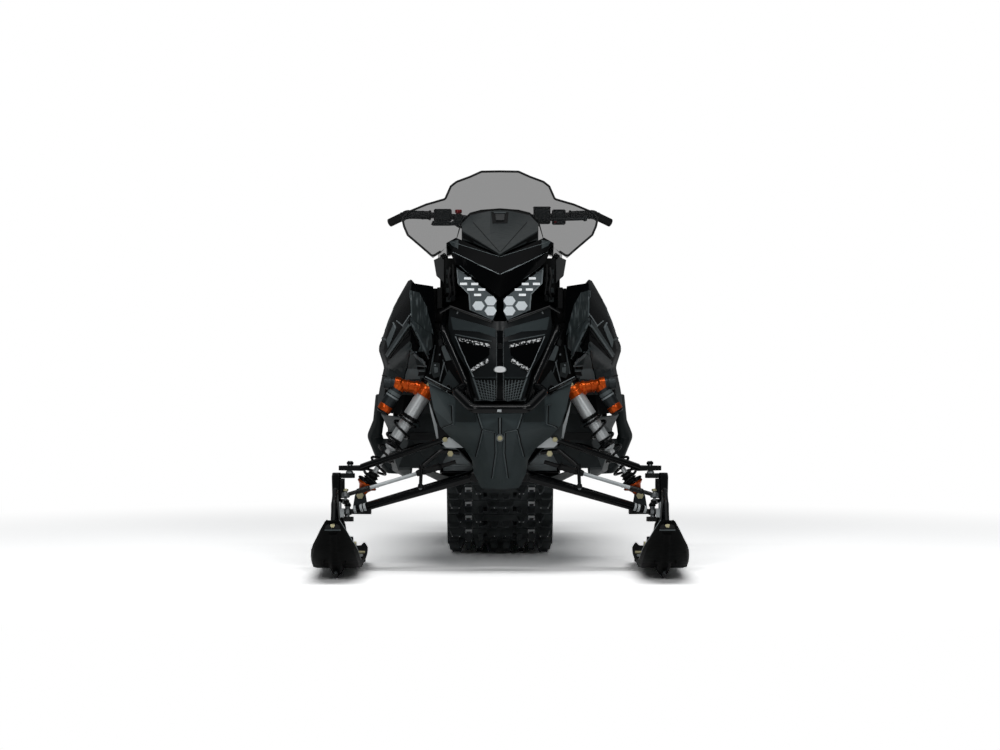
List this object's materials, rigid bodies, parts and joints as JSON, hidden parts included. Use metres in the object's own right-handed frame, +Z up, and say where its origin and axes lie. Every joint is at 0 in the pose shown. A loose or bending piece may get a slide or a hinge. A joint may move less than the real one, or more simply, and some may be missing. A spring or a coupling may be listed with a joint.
{
  "type": "snowmobile",
  "caption": "Sport snowmobile with steered skis on double-wishbone arms, a lugged track under a metal tunnel, faceted hood, smoked windshield and long seat.",
  "frame": {"origin": "on the floor, midway along the length and across the width", "axes": "+Z up, skis and lamps face -Y, +X towards the rider's left"},
  "size_m": [1.264, 3.1, 1.381],
  "materials": {
    "track_rubber": "moulded rubber",
    "axle_steel": "plain steel",
    "rail_aluminium": "cast and machined",
    "wheel_rubber": "moulded rubber",
    "tunnel_aluminium": "dark coated sheet",
    "frame_black": "satin powder coat",
    "bulkhead_silver": "bare cast aluminium",
    "engine_grey": "cast",
    "plastic_black": "grained moulding",
    "plastic_gloss": "gloss moulding",
    "plastic_grey": "satin moulding",
    "lens_white": "frosted lamp lens",
    "screen_smoke": "smoked polycarbonate",
    "spring_black": "powder coat",
    "anodised_orange": "orange anodised",
    "shock_silver": "polished",
    "seat_cover": "vinyl cover",
    "tail_red": "lamp lens",
    "rubber_black": "soft rubber",
    "ski_plastic": "slick moulding",
    "runner_steel": "hardened"
  },
  "bodies": {
    "chassis": {"track_belt": "track_rubber", "drive_axle": "axle_steel", "slide_rails": "rail_aluminium", "rear_axle": "wheel_rubber", "carrier_wheels": "wheel_rubber", "bogie_wheels": "wheel_rubber", "skid_arms": "frame_black", "skid_shocks": "shock_silver", "tunnel": "tunnel_aluminium", "running_boards": "tunnel_aluminium", "toe_holds": "plastic_black", "bulkhead": "bulkhead_silver", "engine_block": "engine_grey", "frame_tubes": "frame_black", "inner_boxes": "plastic_black", "inner_panels": "plastic_black", "shock_caps": "anodised_orange", "belly_pan": "plastic_black", "nose_cover": "plastic_black", "front_bumper": "frame_black", "grille_panel": "plastic_black", "hood": "plastic_gloss", "headlamp_housings": "plastic_grey", "headlamp_lenses": "lens_white", "gauge_pod": "plastic_grey", "gauge": "plastic_gloss", "windshield": "screen_smoke", "windshield_brackets": "plastic_black", "side_panel_left": "plastic_black", "side_panel_right": "plastic_black", "lower_panels": "plastic_black", "console": "plastic_black", "fuel_tank": "plastic_grey", "seat": "seat_cover", "tail_light": "tail_red", "rear_bumper": "frame_black", "snow_flap": "rubber_black", "lower_arms": "frame_black", "upper_arms": "frame_black", "front_shocks": "shock_silver", "front_springs": "spring_black", "shock_reservoirs": "frame_black", "sway_bar": "frame_black"},
    "steering": {"steering_post": "frame_black", "bar_clamp": "frame_black", "handlebar": "frame_black", "grips": "rubber_black", "controls_left": "plastic_black", "controls_right": "plastic_black"},
    "left_knuckle": {"spindle_left": "rail_aluminium"},
    "right_knuckle": {"spindle_right": "rail_aluminium"},
    "left_ski": {"ski_left": "ski_plastic", "runner_left": "runner_steel"},
    "right_ski": {"ski_right": "ski_plastic", "runner_right": "runner_steel"},
    "left_tie_rod": {"tie_rod_left": "shock_silver"},
    "right_tie_rod": {"tie_rod_right": "shock_silver"}
  },
  "joints": [
    {"name": "handlebar_turn", "type": "hinge", "parent": "chassis", "child": "steering", "pos_m": [0, -0.64, 0.705], "axis": [0, 0.4397, 0.8981], "range_deg": [-32, 32]},
    {"name": "left_kingpin", "type": "hinge", "parent": "chassis", "child": "left_knuckle", "pos_m": [0.522, -0.9, 0.205], "axis": [-0.0533, 0.1066, 0.9929], "range_deg": [-25.6, 25.6]},
    {"name": "right_kingpin", "type": "hinge", "parent": "chassis", "child": "right_knuckle", "pos_m": [-0.522, -0.9, 0.205], "axis": [0.0533, 0.1066, 0.9929], "range_deg": [-25.6, 25.6]},
    {"name": "left_ski_pivot", "type": "hinge", "parent": "left_knuckle", "child": "left_ski", "pos_m": [0.546, -0.895, 0.092], "axis": [1, 0, 0], "range_deg": [-10, 10]},
    {"name": "right_ski_pivot", "type": "hinge", "parent": "right_knuckle", "child": "right_ski", "pos_m": [-0.546, -0.895, 0.092], "axis": [1, 0, 0], "range_deg": [-10, 10]},
    {"name": "left_tie_rod_ball", "type": "hinge", "parent": "left_knuckle", "child": "left_tie_rod", "pos_m": [0.524, -0.99, 0.267], "axis": [-0.0533, 0.1066, 0.9929], "range_deg": [-25.6, 25.6]},
    {"name": "right_tie_rod_ball", "type": "hinge", "parent": "right_knuckle", "child": "right_tie_rod", "pos_m": [-0.524, -0.99, 0.267], "axis": [0.0533, 0.1066, 0.9929], "range_deg": [-25.6, 25.6]}
  ],
  "couplings": [
    {"joint": "left_kingpin", "follows": "handlebar_turn", "ratio": 0.8},
    {"joint": "right_kingpin", "follows": "handlebar_turn", "ratio": 0.8},
    {"joint": "left_tie_rod_ball", "follows": "handlebar_turn", "ratio": -0.8},
    {"joint": "right_tie_rod_ball", "follows": "handlebar_turn", "ratio": -0.8}
  ]
}
